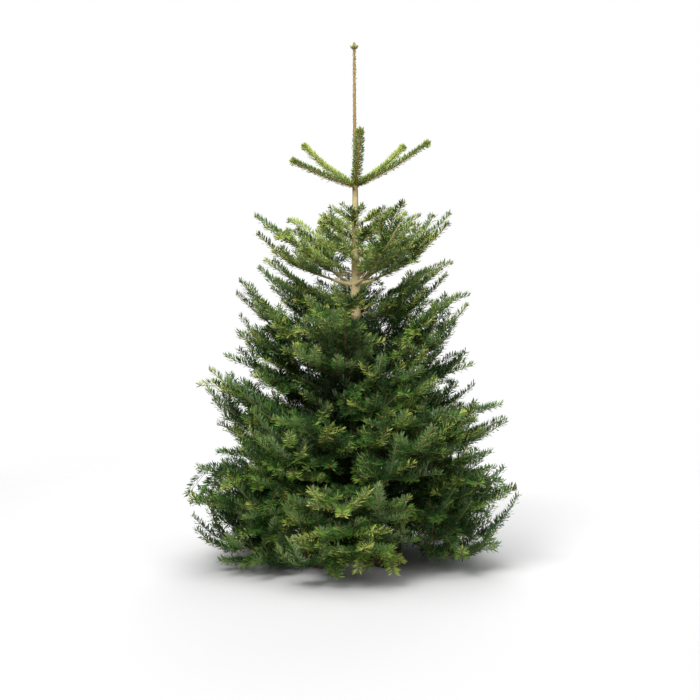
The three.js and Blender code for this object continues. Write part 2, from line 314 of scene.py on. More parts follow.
class Shoots:
    """Yearly shoots as arrays: each is a parabola from start by middle to end, with its age and rank.

    A field given as one number holds for every shoot.
    """

    FIELDS = ("start", "middle", "end", "age", "rank", "thick", "thin", "cover")

    def __init__(self, **arrays):
        for field in self.FIELDS:
            values = np.asarray(arrays[field], dtype=float)
            setattr(self, field, values if values.ndim else np.full(len(arrays["start"]), values))

    def __len__(self):
        return len(self.age)

    @classmethod
    def join(cls, groups):
        """Several groups of shoots as one."""
        return cls(**{f: np.concatenate([getattr(group, f) for group in groups]) for f in cls.FIELDS})

    def only(self, mask):
        """The shoots that a mask or a list of indices picks."""
        return Shoots(**{f: getattr(self, f)[mask] for f in self.FIELDS})

    def copy(self):
        return self.only(np.arange(len(self)))

    def length(self):
        """Lengths from start by middle to end, by straight lines."""
        return (np.linalg.norm(self.middle - self.start, axis=1)
                + np.linalg.norm(self.end - self.middle, axis=1))

    def at(self, which, t):
        """Point and unit direction at share t of shoot which."""
        start, end, t = self.start[which], self.end[which], t[:, None]
        point, handle = parabola(start, self.middle[which], end, t)
        return point, unit((1 - t) * (handle - start) + t * (end - handle))


def parabola(start, middle, end, t):
    """The point at t of the parabola through three points, at t = 0, 0.5 and 1, and its Bezier handle."""
    handle = 2 * middle - (start + end) / 2
    return (1 - t) ** 2 * start + 2 * t * (1 - t) * handle + t ** 2 * end, handle


def shoot_radius(age, rank):
    """Radius of a shoot at its foot: a young shoot's, and more for each year, less on weaker ranks."""
    return 0.0013 + 0.0007 * (age - 1) * np.array([1.5, 1.0, 0.75, 0.6])[np.minimum(rank, 3).astype(int)]


def next_shoots(foot, middle, end, turn, long, rank, pairs, rng, settings):
    """Feet, turns, lengths and ranks of next year's shoots: straight on, one to each side, and the pairs."""
    angle, share = settings.side_angle, settings.side_share
    strong = rank < WEAK_RANK
    groups = [(end, turn * STRAIGHTENING + rng.normal(0, 0.05, len(turn)), long * 0.98, rank)]
    for side in (1, -1):
        turns = turn[strong] + side * rng.normal(angle, 0.08, strong.sum())
        groups.append((end[strong], turns, long[strong] * share, rank[strong] + 1))
    for pair in range(pairs):
        along, _ = parabola(foot, middle, end, (pair + 1) / (pairs + 1))
        for side in (1, -1):
            grows = strong & (rng.random(len(rank)) < PAIR_CHANCE)
            turns = turn[grows] + side * rng.normal(angle * PAIR_LEAN, 0.1, grows.sum())
            longs = long[grows] * share * rng.uniform(0.55, 0.9, grows.sum())
            groups.append((along[grows], turns, longs, rank[grows] + 2))
    return [np.concatenate(parts) for parts in zip(*groups)]


def fan(room, plan, level, heading, rng, settings):
    """The shoots of one flat layer of a mass.

    Each year every shoot goes straight on and puts out one shoot to each side, side_angle away and
    side_share as long. A strong shoot puts out shorter pairs along it as well. A shoot that would leave
    the mass's outline is cut shorter, and one that can't fit is left out, but the tip of a young shoot
    may stick out. Young shoots turn up from their layer, each by its own share of the tier's upturn, and
    hardly at all in the lowest layers.
    """
    years = plan["years"]
    weights = np.array(YEAR_WEIGHTS[:years])
    yearly = (room.end - room.start - TIP_MARGIN) * weights / weights.sum()
    foot = np.array([[room.start + 0.004, 0.0, level]])
    turn, long, rank = np.array([heading]), np.array([1.0]), np.array([0.0])
    grown = []
    for year, main_length in enumerate(yearly):
        age = years - year
        reach = main_length * long * rng.normal(1, 0.06, len(long)).clip(*LENGTH_RANGE)
        ahead = np.stack([np.cos(turn), np.sin(turn)], axis=1)
        tip = foot[:, :2] + ahead * reach[:, None]
        fits = np.zeros(len(reach), dtype=bool)
        for share in CUT_SHARES:
            trial = foot[:, :2] + ahead * (reach * share)[:, None]
            tested = trial - ahead * (YOUNG_TIP_OUT if age == 1 else 0.0)
            now = ~fits & room.holds(tested[:, 0], tested[:, 1])
            tip[now] = trial[now]
            fits |= now
        foot, turn, long, rank, tip = foot[fits], turn[fits], long[fits], rank[fits], tip[fits]
        drift = rng.normal(0.03, 0.06 + 0.07 * np.minimum(rank, 2), len(rank))
        level_end = np.clip(foot[:, 2] + drift, 0, 1)
        level_middle = foot[:, 2] + (level_end - foot[:, 2]) * 0.35
        side_bend = rng.normal(0, 0.03, len(rank))[:, None] * np.stack(
            [-(tip - foot[:, :2])[:, 1], (tip - foot[:, :2])[:, 0]], axis=1)
        middle = np.column_stack([(foot[:, :2] + tip) / 2 + side_bend, level_middle])
        end = np.column_stack([tip, level_end])
        upturn = rng.uniform(0, plan["upturn"], len(rank)) if age == 1 else np.zeros(len(rank))
        upturn = upturn * np.clip(1.6 * foot[:, 2], 0.1, 1)
        raised = (upturn * np.linalg.norm(tip - foot[:, :2], axis=1))[:, None] * UP
        grown.append(Shoots(
            start=room.lift(foot), middle=room.lift(middle) + 0.35 * raised, end=room.lift(end) + raised,
            age=age, rank=rank, thick=shoot_radius(age, rank), thin=shoot_radius(max(age - 1, 0.6), rank),
            cover=COVER_BY_AGE[age],
        ))
        if age > 1:
            foot, turn, long, rank = next_shoots(
                foot, middle, end, turn, long, rank, plan["pairs"], rng, settings)
    return Shoots.join(grown)


def stem_to(point, radius, rng):
    """A bare stem from the trunk's bark to a point of a mass, as a single shoot."""
    away = point[:2] - trunk_centre(point[2])[:2]
    distance = np.hypot(*away)
    height = point[2] - 0.22 * distance
    foot = trunk_centre(height) + np.append(away / distance, 0) * trunk_radius(height) * 0.7
    middle = (foot + point) / 2 - UP * 0.04 * distance + rng.normal(0, 0.002, 3)
    return Shoots(start=[foot], middle=[middle], end=[point], age=5, rank=0, thick=radius * 1.25,
                  thin=radius, cover=0.0)


@lru_cache(maxsize=None)
def grow_mass(name, seed):
    """All shoots of one mass: as many flat layers as its thickness takes, each on a stem of its own.

    The layer nearest to the level of a bare bough's end grows from that end and carries on its taper. A
    shoot of the top whorl starts at the trunk.
    """
    settings = bpy.context.scene.fir_growth
    tier = name.rsplit("_", 1)[0]
    rng = np.random.default_rng([seed, sum(map(ord, name))])
    room = Room(name)
    plan = TIERS[tier]
    layers = max(1, round(room.thickness / plan["layer"]))
    levels = (np.arange(layers) + 0.3) / (layers - 0.4)
    limb = f"{tier.removesuffix('_spray')}_bough_{name[-1]}"
    limb_layer = None
    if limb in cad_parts:
        _, centres, radii = limb_rings(limb)
        limb_level = room.level_of(centres[-1][2], room.start)
        limb_layer = int(np.abs(levels - limb_level).argmin())
        levels[limb_layer] = limb_level
    if name == OPEN_MASS:
        levels = levels[:OPEN_LAYERS]
    parts = []
    for layer, level in enumerate(levels):
        noise = rng.normal(0, 0.06) if layers > 1 else 0.0
        straight = layers == 1 or layer == limb_layer
        heading = 0.0 if straight else HEADING_SPREAD * ((layer * GOLDEN_SHARE) % 1 - 0.5) + noise
        shoots = fan(room, plan, level, heading, rng, settings)
        if layer == limb_layer:
            end = radii[radii > POLE_RADIUS][-1]
            taper = shoots.rank == 0
            shoots.cover[taper & (shoots.age > 1)] *= 0.3
            shoots.thick[taper] = np.linspace(end, 0.003, taper.sum())
            shoots.thin[taper] = np.append(shoots.thick[taper][1:], 0.0015)
            shoots.start[0] = centres[-1] - 0.003 * room.outward
        elif plan["years"] == 1:
            shoots.thick[0], shoots.thin[0] = TOP_SHOOT_RADII
            shoots.start[0] = trunk_centre(shoots.start[0][2] - 0.004) + room.outward * 0.006
        else:
            parts.append(stem_to(shoots.start[0], float(shoots.thick[0]), rng))
        parts.append(shoots)
    return Shoots.join(parts)


@lru_cache(maxsize=None)
def limb_rings(name):
    """A bare bough's distances from the trunk's axis, centres and radii, read from its node."""
    points, _ = node_arrays(name)
    points = np.unique(np.round(points, 5), axis=0)
    middle = points.mean(axis=0)
    outward = unit(np.append(middle[:2], 0.0))
    return rings_along(points, np.round(points @ outward, 3))


@lru_cache(maxsize=None)
def leading_shoot():
    """The stretch of the trunk above the top whorl, as a single shoot for its needles."""
    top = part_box("trunk")[1][2]
    whorl = min(node_arrays(name)[0][:, 2].min() for name in nodes_of("top_shoot")) + 0.012
    foot, tip = trunk_centre(whorl), trunk_centre(top)
    return Shoots(start=[foot], middle=[(foot + tip) / 2], end=[tip], age=1, rank=0,
                  thick=trunk_radius(whorl + 0.03), thin=trunk_radius(top), cover=1.0)


@lru_cache(maxsize=None)
def trunk_twigs(seed):
    """Weak twigs straight from the trunk between the two highest whorls, longer and branched lower down."""
    rng = np.random.default_rng([seed, TRUNK_TWIGS])
    top = leading_shoot().start[0][2]
    count, first_drop = 15, 0.12
    drop = np.linspace(first_drop, 0.31, count)
    azimuths = np.radians(178) + np.arange(count) * GOLDEN_SHARE * TAU
    azimuths[1] = np.radians(14)  # the two highest stand on opposite sides
    lengths = np.interp(drop, [first_drop, 0.16, 0.3], [0.085, 0.13, 0.17]) * rng.uniform(0.8, 1.15, count)
    lifts = rng.uniform(0.35, 0.75, count)
    twigs = twigs_from_trunk(azimuths, top - drop, lengths, lifts, age=1, rng=rng)
    lower = twigs.only(drop > first_drop)
    pairs = [side_pairs(lower, place, share, rng) for place, share in ((0.4, 0.6), (0.7, 0.45))]
    return Shoots.join([twigs, *pairs])


def side_pairs(shoots, place, share, rng):
    """A pair of shoots on each shoot, at a place along it, each share of its length and level with it."""
    which = np.repeat(np.arange(len(shoots)), 2)
    side = np.tile([1.0, -1.0], len(shoots))[:, None]
    start, along = shoots.at(which, np.full(len(which), place))
    across = unit(np.cross(along, UP)) * side
    angle = bpy.context.scene.fir_growth.side_angle + rng.normal(0, 0.1, len(which))[:, None]
    aim = unit(along * np.cos(angle) + across * np.sin(angle))
    reach = (shoots.length()[which] * share * rng.uniform(0.75, 1.15, len(which)))[:, None]
    end = start + aim * reach + UP * reach * rng.uniform(0, 0.35, reach.shape)
    return Shoots(start=start, middle=(start + end) / 2 - UP * 0.03 * reach, end=end, age=shoots.age[which],
                  rank=shoots.rank[which] + 1, cover=shoots.cover[which], thick=0.0014, thin=0.0010)


@lru_cache(maxsize=None)
def inner_twigs(seed):
    """Old shaded twigs all round the trunk inside the crown, turned by the golden angle up the trunk."""
    rng = np.random.default_rng([seed, INNER_TWIGS])
    count, under_bottom, under_upper = 210, 0.07, 0.12
    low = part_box("bottom_bough_1")[0][2] - under_bottom
    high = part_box("upper_bough_1")[0][2] - under_upper
    heights = np.linspace(low, high, count) + rng.uniform(-0.01, 0.01, count)
    azimuths = np.arange(count) * GOLDEN_SHARE * TAU + rng.normal(0, 0.2, count)
    room = np.interp(heights, [low, high - 0.25, high], [0.25, 0.21, 0.07])
    lengths = room * rng.uniform(0.65, 1.0, count)
    lifts = np.interp(heights, [low, low + 0.1, high], [0.05, 0.35, 0.6])
    return twigs_from_trunk(azimuths, heights, lengths, lifts, age=3, rng=rng)


def twigs_from_trunk(azimuths, heights, lengths, lifts, age, rng):
    """Single shoots from just inside the bark outwards, each lifted above the level by its own share."""
    outward = compass(azimuths)
    start = trunk_centre(heights) + outward * trunk_radius(heights)[:, None] * 0.8
    end = start + lengths[:, None] * unit(outward + UP * lifts[:, None])
    middle = (start + end) / 2 - UP * 0.006 + rng.normal(0, 0.002, start.shape)
    return Shoots(start=start, middle=middle, end=end, age=age, rank=WEAK_RANK, cover=1.0,
                  thick=TWIG_RADII[0], thin=TWIG_RADII[1])


# ---- Surfaces ----


def tubes(centres, radii, sides, reference=UP):
    """Closed tubes: rings of points at radius r about each centre, and a pole at each end.

    centres is (tubes, rows, 3) and radii is (tubes, rows) or (tubes, rows, sides). A ring's point is
    centre + r (cos a U + sin a V), where U and V stand across the path. Returns vertices and triangles.
    """
    count, rows, _ = centres.shape
    along = unit(np.gradient(centres, axis=1))
    across = unit(np.cross(along, np.broadcast_to(reference, along.shape)))
    over = np.cross(across, along)
    angle = np.arange(sides) * TAU / sides
    radii = np.broadcast_to(radii[..., None] if radii.ndim == 2 else radii, (count, rows, sides))
    spoke = (np.cos(angle)[:, None] * over[:, :, None, :] + np.sin(angle)[:, None] * across[:, :, None, :])
    rings = centres[:, :, None, :] + radii[..., None] * spoke
    points = np.concatenate([rings.reshape(count, rows * sides, 3), centres[:, :1], centres[:, -1:]], axis=1)
    faces = tube_faces(rows, sides)
    offsets = np.arange(count)[:, None, None] * points.shape[1]
    return points.reshape(-1, 3), (faces[None] + offsets).reshape(-1, 3), len(faces)


def tube_faces(rows, sides):
    """Triangles of a tube's wall and of the fans that close it, about two poles numbered after its rings."""
    row, side = np.meshgrid(np.arange(rows - 1), np.arange(sides), indexing="ij")
    a, b = row * sides + side, row * sides + (side + 1) % sides
    c, d = b + sides, a + sides
    wall = np.stack([np.stack([a, c, b], -1), np.stack([a, d, c], -1)]).reshape(-1, 3)
    side = np.arange(sides)
    after, last = (side + 1) % sides, (rows - 1) * sides
    start = np.stack([np.full(sides, rows * sides), side, after], axis=1)
    end = np.stack([np.full(sides, rows * sides + 1), after + last, side + last], axis=1)
    return np.concatenate([wall, start, end])


def around(centres, radii, sides, rise=0.0):
    """Ring points about each centre for relief to be read at: centre + r (cos a, sin a, rise sin a)."""
    angle = np.arange(sides) * TAU / sides
    spoke = np.stack([np.cos(angle), np.sin(angle), rise * np.sin(angle)], axis=-1)
    return centres[..., None, :] + radii[..., None, None] * spoke


def waves(points, scale, seed, octaves=3):
    """Smooth uneven values near -1 to 1: a sum of sines of turned directions at rising frequencies."""
    rng = np.random.default_rng(seed)
    total, weight, sum_weights = 0.0, 1.0, 0.0
    for _ in range(octaves):
        for _ in range(4):
            direction = unit(rng.normal(size=3)) * TAU / scale
            total = total + weight * np.sin(points @ direction + rng.random() * TAU)
        sum_weights += weight * 2
        scale, weight = scale * 0.47, weight * 0.55
    return total / sum_weights


def linked(name, data):
    """A new object in the scene."""
    made = bpy.data.objects.new(name, data)
    bpy.context.scene.collection.objects.link(made)
    return made


def add_piece(name, points, triangles, materials, face_slots=None, smooth=False):
    """Puts arrays of points and triangles into a mesh object that rides on the tree."""
    mesh = bpy.data.meshes.new(name)
    mesh.vertices.add(len(points))
    mesh.vertices.foreach_set("co", np.ascontiguousarray(points, dtype=np.float32).ravel())
    mesh.loops.add(triangles.size)
    mesh.loops.foreach_set("vertex_index", np.ascontiguousarray(triangles, dtype=np.int32).ravel())
    mesh.polygons.add(len(triangles))
    mesh.polygons.foreach_set("loop_start", np.arange(0, triangles.size, 3, dtype=np.int32))
    for material in materials:
        mesh.materials.append(material)
    if face_slots is not None:
        mesh.polygons.foreach_set("material_index", np.ascontiguousarray(face_slots, dtype=np.int32))
    mesh.polygons.foreach_set("use_smooth", np.full(len(triangles), smooth))
    mesh.update(calc_edges=True)
    piece = linked(name, mesh)
    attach(piece, BODY)
    return piece


# ---- Needles, twigs and buds ----


def needle_colours(shoots, light, rng):
    """The upper and under colour of each shoot, dealt out by age and at random; a low light share gives
    more shoots the darker underside, which is painted shade.
    """
    draw = rng.random(len(shoots))
    young = np.where(draw < light ** 2, FRESH, np.where(draw < light, LIGHT, GREEN))
    young = np.where(draw > 0.42 + 0.62 * light, DEEP, young)
    older = np.where(draw < light * 0.4, LIGHT, np.where(draw < 0.1 + light * 0.75, GREEN, DEEP))
    oldest = np.where(draw < 0.25, DEEP, OLD)
    upper = np.where(shoots.age <= 1, young, np.where(shoots.age <= 2, older, oldest))
    # The underside in light, or its darker copy as painted shade, taken more where the light share is low.
    under = np.where(rng.random(len(shoots)) < 0.25 + 0.6 * light, SILVER, SHADED_SILVER)
    return upper.astype(int), under.astype(int)


def needles_on(shoots, upper, under, rng, settings, density=1.0, size=1.0, splay=(0.72, 1.12),
               all_round=False, reference=UP):
    """Needles on shoots, four triangles each: a ridge from root to tip and two lower corners.

    Needle k of a shoot stands at share (k + noise) / n of it. Its angle about the shoot goes round by the
    golden angle, drawn up from below towards the sides, and it leans forward from the shoot by a splay
    that is least on top and near the tip. Its blade lies as flat as it can.
    """
    wanted = shoots.length() * settings.needles_per_metre * density * shoots.cover
    counts = np.maximum(0, np.round(wanted)).astype(int)
    which = np.repeat(np.arange(len(shoots)), counts)
    first = np.repeat(np.cumsum(counts) - counts, counts)
    order = np.arange(len(which)) - first
    total = np.repeat(counts, counts)
    t = np.clip((order + rng.random(len(which))) / np.maximum(total, 1), 0, 1)
    point, along = shoots.at(which, t)
    across = unit(np.cross(along, np.broadcast_to(reference, along.shape)))
    over = np.cross(across, along)
    angle = (order * GOLDEN_SHARE * TAU + which * 1.7) % TAU - math.pi
    if not all_round:
        angle = angle * 0.66 + rng.normal(0, 0.2, len(which))
    spoke = np.cos(angle)[:, None] * over + np.sin(angle)[:, None] * across
    sideways = np.abs(np.sin(angle))
    lean = splay[0] + (splay[1] - splay[0]) * sideways + rng.normal(0, 0.14, len(which))
    lean = lean * np.interp(t, [0, 0.8, 1], [1.08, 1.0, 0.8])
    aim = np.cos(lean)[:, None] * along + np.sin(lean)[:, None] * spoke
    aim = unit(aim + rng.normal(0, 0.05, along.shape))
    flat = over + along * 0.4
    flat = unit(flat - (flat * aim).sum(axis=1, keepdims=True) * aim + rng.normal(0, 0.34, aim.shape))
    flat = unit(flat - (flat * aim).sum(axis=1, keepdims=True) * aim)
    wide = np.cross(flat, aim)
    radius = shoots.thick[which] + (shoots.thin - shoots.thick)[which] * t
    length = settings.needle_length * size * np.interp(t, [0, 0.12, 0.8, 1], [0.75, 1.0, 1.0, 0.8])
    length = length * rng.normal(1, 0.08, len(which)).clip(0.75, 1.2)
    half = settings.needle_width / 2 * rng.normal(1, 0.06, len(which)).clip(0.8, 1.2)
    half = half * np.where(shoots.age[which] > 2, 1.3, 1.0)
    root = point + spoke * (radius * 0.8)[:, None]
    tip = root + aim * length[:, None] + over * (length * 0.05)[:, None]
    belly = root + aim * (length * 0.62)[:, None] - flat * 0.0007
    left = belly + wide * half[:, None]
    right = belly - wide * half[:, None]
    points = np.stack([root, left, right, tip], axis=1).reshape(-1, 3)
    faces = np.array([[0, 3, 1], [0, 2, 3], [0, 1, 2], [3, 2, 1]])
    triangles = (faces[None] + 4 * np.arange(len(which))[:, None, None]).reshape(-1, 3)
    # Painted highlight: near the tip of a young shoot the upper faces take the next lighter green.
    painted_highlight_tip = (t > 0.74) & (shoots.age[which] <= 1) & (upper[which] > FRESH) & (upper[which] < OLD)
    tops, unders = upper[which] - painted_highlight_tip, under[which]
    slots = np.stack([tops, tops, unders, unders], axis=1).ravel()
    return points, triangles, slots


def joined(groups):
    """Several (points, triangles, slots) as one."""
    offsets = np.cumsum([0] + [len(points) for points, _, _ in groups[:-1]])
    points = np.concatenate([points for points, _, _ in groups])
    triangles = np.concatenate([faces + offset for (_, faces, _), offset in zip(groups, offsets)])
    return points, triangles, np.concatenate([slots for _, _, slots in groups])


def twig_surface(shoots, sides=5, rows=3):
    """Tubes along the shoots, each tapering from thick to thin."""
    t = np.tile(np.linspace(0, 1, rows), len(shoots))
    which = np.repeat(np.arange(len(shoots)), rows)
    centres = shoots.at(which, t)[0].reshape(len(shoots), rows, 3)
    share = np.linspace(0, 1, rows)
    radii = shoots.thick[:, None] * (1 - share) + shoots.thin[:, None] * share
    return tubes(centres, radii, sides)


def bud_surface(points, aims, lengths, sides=5):
    """Pointed ovals: three rings of a tube whose radius swells to a third of its length and closes."""
    share = np.array([0.0, 0.45, 1.0])
    swell = np.array([0.6, 1.0, 0.15])
    centres = points[:, None, :] + aims[:, None, :] * (lengths[:, None] * share)[..., None]
    return tubes(centres, lengths[:, None] * 0.33 * swell, sides, reference=np.array([0.3, 0.2, 0.93]))


def bud_cluster(shoots, rng, size):
    """Points, aims and lengths of the buds at shoots' ends: one ahead, and on strong ones two beside."""
    points, aims, lengths = [], [], []
    for lean, share, weakest in ((0.0, 1.0, 9), (0.75, 0.78, 1), (-0.75, 0.78, 1)):
        tips = shoots.only(shoots.rank <= weakest)
        _, along = tips.at(np.arange(len(tips)), np.ones(len(tips)))
        across = unit(np.cross(along, np.broadcast_to(UP, along.shape)))
        aims.append(unit(along + across * lean + rng.normal(0, 0.08, along.shape)))
        points.append(tips.end - along * 0.001 + across * lean * 0.3 * size)
        lengths.append(size * share * rng.normal(1, 0.1, len(tips)).clip(0.7, 1.3))
    return np.concatenate(points), np.concatenate(aims), np.concatenate(lengths)


# ---- Materials ----


def linear(colour):
    """A display colour as the linear RGBA that a shader takes."""
    c = np.array(colour[:3], dtype=float)
    return (*np.where(c <= 0.04045, c / 12.92, ((c + 0.055) / 1.055) ** 2.4).tolist(), 1.0)


class Term:
    """A node's output in a material, on which + - and * add Math nodes."""

    def __init__(self, surface, socket):
        self.surface, self.socket = surface, socket

    def _maths(operation, reflected=False):
        """A method that adds one Math node, with the term second if it is reflected."""
        def method(self, other):
            first, second = (other, self) if reflected else (self, other)
            return self.surface.node("ShaderNodeMath", {"operation": operation}, {0: first, 1: second})
        return method

    __add__, __radd__ = _maths("ADD"), _maths("ADD", True)
    __sub__, __rsub__ = _maths("SUBTRACT"), _maths("SUBTRACT", True)
    __mul__, __rmul__ = _maths("MULTIPLY"), _maths("MULTIPLY", True)


class Surface:
    """A material and its Principled shader, to which nodes are added one by one."""

    def __init__(self, name, constants):
        self.material = bpy.data.materials.new(name)
        self.material.use_nodes = True
        self.tree = self.material.node_tree
        self.shader = self.tree.nodes["Principled BSDF"]
        for socket, value in constants.items():
            self.shader.inputs[socket].default_value = value

    def node(self, kind, settings=(), inputs=(), output=0):
        """Adds a node with its settings and the values or links of its sockets; gives one output."""
        made = self.tree.nodes.new(kind)
        for key, value in dict(settings).items():
            setattr(made, key, value)
        self._fill(made, dict(inputs))
        return Term(self, made.outputs[output])

    def _fill(self, made, inputs):
        for socket, value in inputs.items():
            if isinstance(value, Term):
                self.tree.links.new(value.socket, made.inputs[socket])
            else:
                made.inputs[socket].default_value = value

    def feed(self, **links):
        """Links terms to the shader's own sockets, such as Base_Color."""
        self._fill(self.shader, {socket.replace("_", " "): term for socket, term in links.items()})

    def place(self, scale=(1, 1, 1), turn=0.0):
        """Object coordinates, turned about Z and stretched."""
        coordinates = self.node("ShaderNodeTexCoord", output=3)
        inputs = {"Vector": coordinates, "Rotation": (0, 0, turn), "Scale": scale}
        return self.node("ShaderNodeMapping", (), inputs)

    def noise(self, vector, scale, detail=3.0):
        """Soft noise of 0 to 1, scale grains to the metre."""
        return self.node("ShaderNodeTexNoise", (), {"Vector": vector, "Scale": scale, "Detail": detail})

    def blend(self, share, first, second):
        """A colour from first to second by share."""
        settings = {"data_type": "RGBA", "clamp_factor": True}
        return self.node("ShaderNodeMix", settings, {0: share, 6: first, 7: second}, output=2)

    def bump(self, height, strength, distance):
        """A normal leant by a height that stands distance metres proud at 1."""
        return self.node("ShaderNodeBump", (), {"Height": height, "Strength": strength, "Distance": distance})


def plain(name, colour, roughness, specular=0.5):
    """A finish that is the same all over, for pieces too small and many to carry a pattern."""
    constants = {"Base Color": linear(colour), "Roughness": roughness, "Specular IOR Level": specular}
    return Surface(name, constants).material


@lru_cache(maxsize=None)
def needle_materials():
    """The needles' finishes, in the order of NEEDLE_COLOURS: waxy above, duller beneath."""
    finishes = []
    for name, colour in NEEDLE_COLOURS.items():
        dull = "silver" in name
        finishes.append(plain(name, colour, 0.7 if dull else 0.5, 0.15 if dull else 0.25))
    return finishes


def smoothed(surface, term, low, high):
    """0 below low, 1 above high, and a smooth step between."""
    settings = {"interpolation_type": "SMOOTHSTEP", "clamp": True}
    inputs = {"Value": term, "From Min": low, "From Max": high, "To Min": 0.0, "To Max": 1.0}
    return surface.node("ShaderNodeMapRange", settings, inputs)


@lru_cache(maxsize=None)
def bark_material():
    """Smooth fir bark: golden on the leading shoot, pale below it, grey-brown with age at the foot.

    Colour goes by height through three stages, mottled by noise, with short pale streaks across the
    stem and dark flecks. Bump carries the same streaks.
    """
    looks = bpy.context.scene.fir_looks
    surface = Surface("fir_bark", {"Roughness": 0.78, "Specular IOR Level": 0.35})
    height = surface.node("ShaderNodeSeparateXYZ", (), {0: surface.place()}, output=2)
    middle_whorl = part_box("middle_bough_1")[0][2]
    top_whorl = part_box("top_shoot_1")[0][2]
    upward = smoothed(surface, height, middle_whorl - 0.25, middle_whorl + 0.40)
    leading = smoothed(surface, height, top_whorl - 0.08, top_whorl + 0.05)
    mottle = surface.noise(surface.place(), 70.0)
    streaks = surface.noise(surface.place(scale=(1, 1, 5)), 130.0)
    flecks = smoothed(surface, surface.noise(surface.place(scale=(1, 1, 2)), 260.0), 0.60, 0.72)
    colour = linear(looks.bark_old)
    for share, tint in (
        (upward, looks.bark_pale),
        (leading, looks.bark_young),
        (mottle * 0.8 - 0.25, (0.34, 0.27, 0.13)),  # brown patches
        (smoothed(surface, streaks, 0.58, 0.70) * 0.45, (0.82, 0.77, 0.60)),  # pale streaks
        (flecks * 0.55, (0.24, 0.17, 0.09)),  # dark flecks
    ):
        colour = surface.blend(share, colour, linear(tint))
    normal = surface.bump(streaks * 0.7 + mottle * 0.6, 0.5, 0.0015)
    surface.feed(Base_Color=colour, Roughness=0.70 + mottle * 0.18, Normal=normal)
    return surface.material


@lru_cache(maxsize=None)
def twig_materials():
    """Young and old twigs and the pale upper boughs: olive tan, grey-brown, and light tan."""
    colours = {"twig_young": (0.45, 0.38, 0.19), "twig_old": (0.26, 0.21, 0.12),
               "twig_pale": (0.66, 0.56, 0.36)}
    return [plain(name, colour, 0.75) for name, colour in colours.items()]


@lru_cache(maxsize=None)
def bud_materials():
    """Buds of the crown in brown, and the fresh ones of the two highest whorls in olive green."""
    return [plain("bud_scales", bpy.context.scene.fir_looks.bud, 0.5),
            plain("bud_fresh", (0.47, 0.49, 0.22), 0.5)]


def timber_material(name, turn):
    """Sawn softwood: long grain lines along the plank, darker late wood, and a fine fuzz."""
    surface = Surface(name, {"Roughness": 0.75})
    grain = surface.noise(surface.place(scale=(0.5, 9, 9), turn=turn), 9.0, 4.0)
    line = surface.node("ShaderNodeTexWave", {"wave_type": "BANDS", "bands_direction": "Y"}, {
        "Vector": surface.place(scale=(0.35, 1, 1), turn=turn), "Scale": 55.0, "Distortion": 5.0,
        "Detail": 2.0, "Detail Scale": 0.6})
    fuzz = surface.noise(surface.place(scale=(1, 6, 6), turn=turn), 160.0)
    colour = linear(bpy.context.scene.fir_looks.timber)
    for share, tint in ((line * 0.45, (0.27, 0.19, 0.12)), (grain * 0.7 - 0.15, (0.46, 0.37, 0.26))):
        colour = surface.blend(share, colour, linear(tint))
    normal = surface.bump(line * 0.4 + fuzz * 0.6, 0.35, 0.0008)
    surface.feed(Base_Color=colour, Roughness=0.62 + fuzz * 0.2, Normal=normal)
    return surface.material


# ---- Pieces ----


class FIR_OT_trunk(bpy.types.Operator):
    """Trunk from its cut foot to the leading shoot, with bark relief"""

    bl_idname = "fir.trunk"
    bl_label = "Trunk"

    def execute(self, context):
        heights, _, radii = trunk_rings()
        body = heights[radii > POLE_RADIUS]
        rows, sides = 620, 40
        z = np.linspace(body[0], body[-1], rows)
        path, radius = trunk_centre(z), trunk_radius(z)
        ring = around(path, radius, sides)
        blisters = np.clip(waves(ring * [1, 1, 1.8], 0.016, 3, 2) - 0.35, 0, 1) * 0.0016
        ribs = waves(ring * [1, 1, 0.35], 0.03, 4, 3) * 0.0009
        ripple = waves(ring * [0.5, 0.5, 4], 0.05, 5, 2) * 0.0005
        depth = np.clip(radius / 0.02, 0.25, 1)[:, None]
        relief = radius[:, None] + (blisters + ribs + ripple) * depth
        points, triangles, _ = tubes(path[None], relief[None], sides, reference=np.array([1.0, 0, 0]))
        piece = add_piece("trunk_bark", points, triangles, [bark_material()], smooth=True)
        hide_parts("trunk")
        return {"FINISHED"}


class FIR_OT_boughs(bpy.types.Operator):
    """Bare boughs from the trunk to their foliage, each with a swollen collar"""

    bl_idname = "fir.boughs"
    bl_label = "Boughs"

    SUNK = 0.012  # how far a bough runs on into the trunk

    def execute(self, context):
        limbs = sorted(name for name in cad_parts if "_bough_" in name)
        rows, sides = 16, 14
        paths, widths = [], []
        for name in limbs:
            distances, centres, radii = limb_rings(name)
            body = radii > POLE_RADIUS
            distances, centres, radii = distances[body], centres[body], radii[body]
            inward = trunk_centre(centres[0][2])
            stops = np.append(distances[0] - self.SUNK, distances)
            inner = centres[0] - unit(centres[-1] - centres[0]) * self.SUNK
            inner[:2] += inward[:2] * 0.2
            route = np.vstack([inner, centres])
            share = np.linspace(stops[0], stops[-1] + 0.004, rows)
            paths.append(np.stack([np.interp(share, stops, route[:, axis]) for axis in range(3)], axis=1))
            collar = 1 + 0.35 * np.exp(-((share - stops[0]) / 0.010) ** 2)
            widths.append(np.interp(share, distances, radii) * collar)
        paths, widths = np.array(paths), np.array(widths)
        relief = widths[:, :, None] * (1 + 0.05 * waves(around(paths, widths, sides, 1.0), 0.012, 8, 3))
        points, triangles, _ = tubes(paths, relief, sides)
        piece = add_piece("bough_bark", points, triangles, [bark_material()], smooth=True)
        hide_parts(*limbs)
        return {"FINISHED"}


